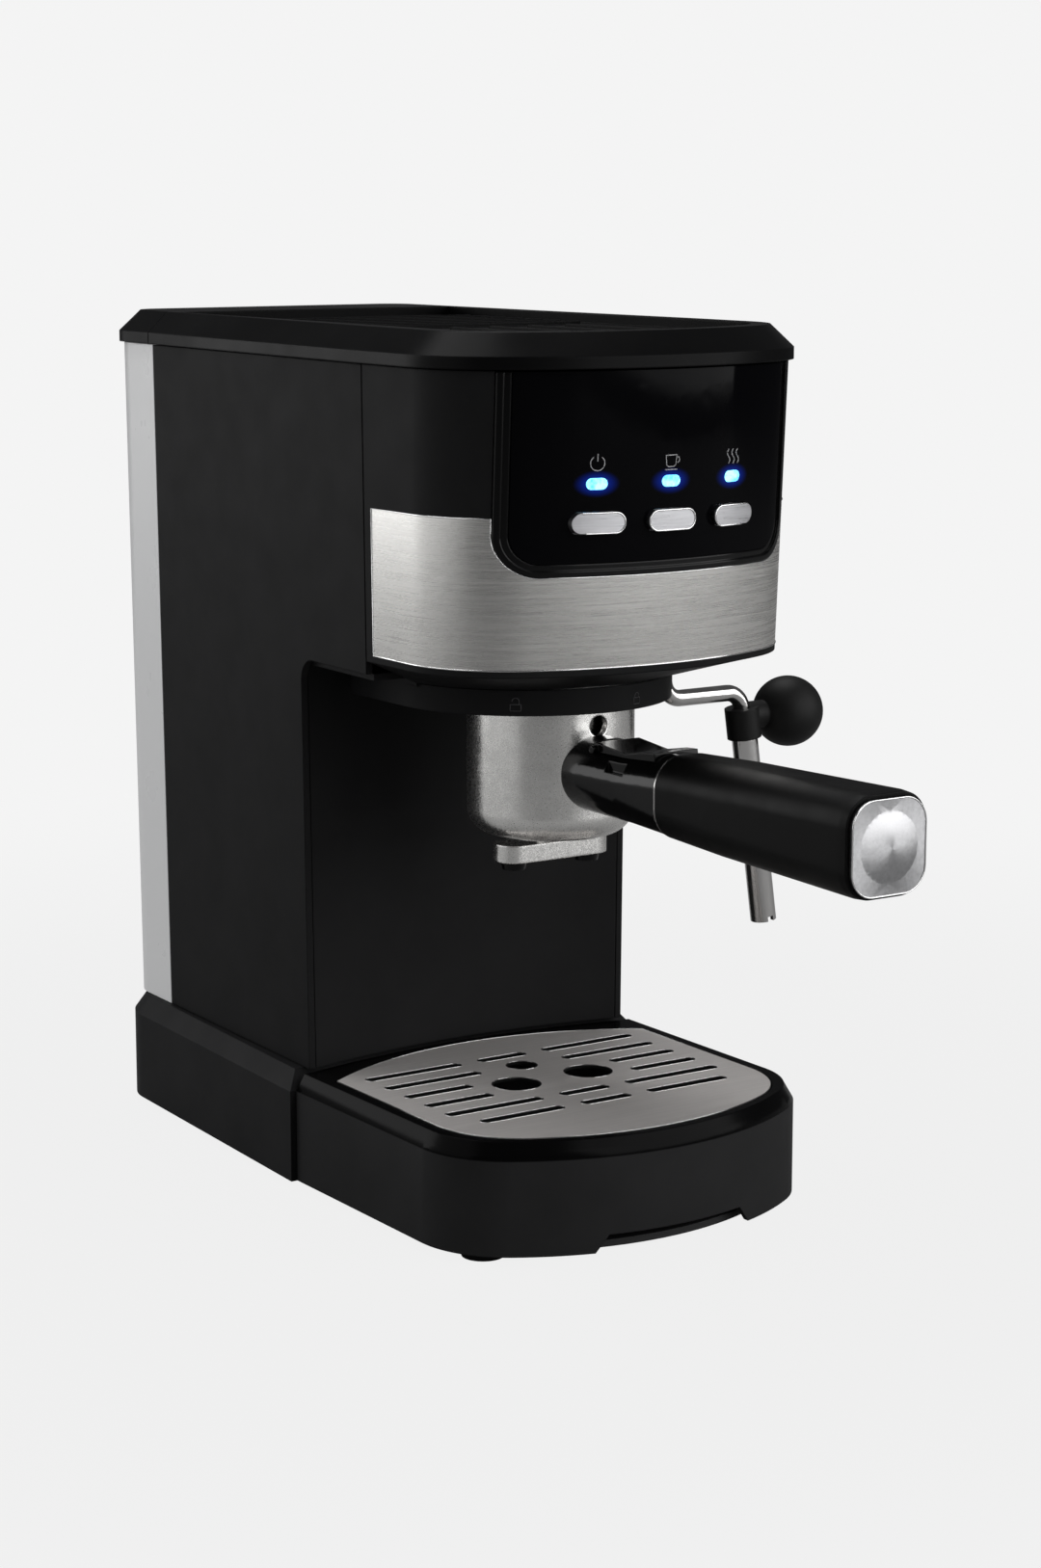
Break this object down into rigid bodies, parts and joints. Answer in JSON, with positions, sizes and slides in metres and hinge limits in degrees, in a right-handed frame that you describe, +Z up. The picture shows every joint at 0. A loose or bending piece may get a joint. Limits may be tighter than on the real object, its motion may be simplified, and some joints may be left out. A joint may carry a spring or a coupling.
{
  "type": "espresso machine",
  "caption": "Slim pump espresso machine with rounded head, steel band, touch-height control panel, side steam wand, bayonet portafilter, lift-out water tank and pull-out drip tray.",
  "frame": {"origin": "on the table in the centre plane, under the front face of the column, near the middle of the footprint", "axes": "+Z up, front of the machine faces -Y, +X to the user's right hand side"},
  "size_m": [0.203, 0.3897, 0.3055],
  "materials": {
    "body_black": "fine textured, satin",
    "base_black": "satin",
    "gloss_black": "high gloss",
    "dark_inside": "matte",
    "brushed_steel": "horizontal brushed grain",
    "bright_steel": "polished",
    "cast_aluminium": "satin cast",
    "grate_steel": "satin",
    "button_silver": "satin silver",
    "grip_black": "soft touch",
    "rubber": "matte",
    "lens_blue": "clear lens",
    "tank_smoke": "translucent",
    "board_green": "coated board",
    "brass": "machined",
    "hose_white": "silicone",
    "screw_steel": "zinc plated"
  },
  "bodies": {
    "housing": {"base_housing": "base_black", "base_plate": "dark_inside", "base_screws": "screw_steel", "boiler_bolts": "screw_steel", "column_front_panel": "body_black", "control_board": "board_green", "control_fascia": "gloss_black", "cord_inlet_gland": "rubber", "group_collar": "body_black", "group_gasket": "rubber", "group_head": "cast_aluminium", "head_front_shell": "body_black", "head_underside": "body_black", "led_lenses": "lens_blue", "left_side_panel": "body_black", "microswitches": "dark_inside", "panel_bezel": "gloss_black", "pressure_hose": "hose_white", "pump_cradle": "dark_inside", "pump_mounts": "rubber", "right_side_panel": "body_black", "rubber_feet": "rubber", "shower_screen": "bright_steel", "shower_screw": "bright_steel", "steam_pipe": "bright_steel", "steam_valve": "brass", "steel_band": "brushed_steel", "suction_hose": "hose_white", "tank_bay_wall": "dark_inside", "tank_dock": "dark_inside", "thermoblock": "cast_aluminium", "thermostats": "dark_inside", "top_cover": "gloss_black", "wand_socket": "bright_steel", "water_pump": "dark_inside"},
    "tank": {"water_tank": "tank_smoke", "tank_valve": "dark_inside"},
    "lid": {"tank_lid": "gloss_black"},
    "tray": {"drip_tray": "base_black"},
    "grate": {"drip_grate": "grate_steel"},
    "portafilter": {"portafilter_cup": "cast_aluminium", "filter_basket": "bright_steel", "basket_spring": "screw_steel", "handle_neck": "gloss_black", "handle_grip": "grip_black", "handle_seam_ring": "bright_steel", "handle_end_cap": "button_silver", "handle_bolt": "screw_steel", "spout_bracket": "cast_aluminium", "spout_nozzles": "gloss_black"},
    "guard": {"basket_guard": "gloss_black"},
    "wand": {"wand_tube": "bright_steel", "wand_ball_grip": "rubber"},
    "froth_tube": {"froth_sleeve": "bright_steel"},
    "knob": {"steam_knob": "grip_black", "valve_spindle": "screw_steel"},
    "power": {"power_button": "button_silver"},
    "brew": {"brew_button": "button_silver"},
    "steam": {"steam_button": "button_silver"}
  },
  "joints": [
    {"name": "tank_lift", "type": "slide", "parent": "housing", "child": "tank", "axis": [0, 0, 1], "range_m": [0, 0.26]},
    {"name": "lid_hinge", "type": "hinge", "parent": "tank", "child": "lid", "pos_m": [0, 0.141, 0.2957], "axis": [-1, 0, 0], "range_deg": [0, 95]},
    {"name": "tray_slide", "type": "slide", "parent": "housing", "child": "tray", "axis": [0, -1, 0], "range_m": [0, 0.14]},
    {"name": "grate_lift", "type": "slide", "parent": "tray", "child": "grate", "axis": [0, 0, 1], "range_m": [0, 0.04]},
    {"name": "portafilter_turn", "type": "hinge", "parent": "housing", "child": "portafilter", "pos_m": [0, -0.0634, 0.1835], "axis": [0, 0, 1], "range_deg": [-40, 0]},
    {"name": "guard_flip", "type": "hinge", "parent": "portafilter", "child": "guard", "pos_m": [0, -0.1036, 0.166], "axis": [-1, 0, 0], "range_deg": [0, 25]},
    {"name": "wand_swivel", "type": "hinge", "parent": "housing", "child": "wand", "pos_m": [0.058, -0.05, 0.17], "axis": [0, 0, 1], "range_deg": [-75, 20]},
    {"name": "froth_tube_pull", "type": "slide", "parent": "wand", "child": "froth_tube", "axis": [0.1404, 0, -0.9901], "range_m": [0, 0.03]},
    {"name": "steam_knob_turn", "type": "hinge", "parent": "housing", "child": "knob", "pos_m": [0.08, -0.022, 0.246], "axis": [1, 0, 0], "range_deg": [0, 250]},
    {"name": "power_press", "type": "slide", "parent": "housing", "child": "power", "axis": [0, 1, 0], "range_m": [0, 0.0015], "stiffness_N_per_m": 500, "springref_m": -0.001},
    {"name": "brew_press", "type": "slide", "parent": "housing", "child": "brew", "axis": [0, 1, 0], "range_m": [0, 0.0015], "stiffness_N_per_m": 500, "springref_m": -0.001},
    {"name": "steam_press", "type": "slide", "parent": "housing", "child": "steam", "axis": [0, 1, 0], "range_m": [0, 0.0015], "stiffness_N_per_m": 500, "springref_m": -0.001}
  ]
}
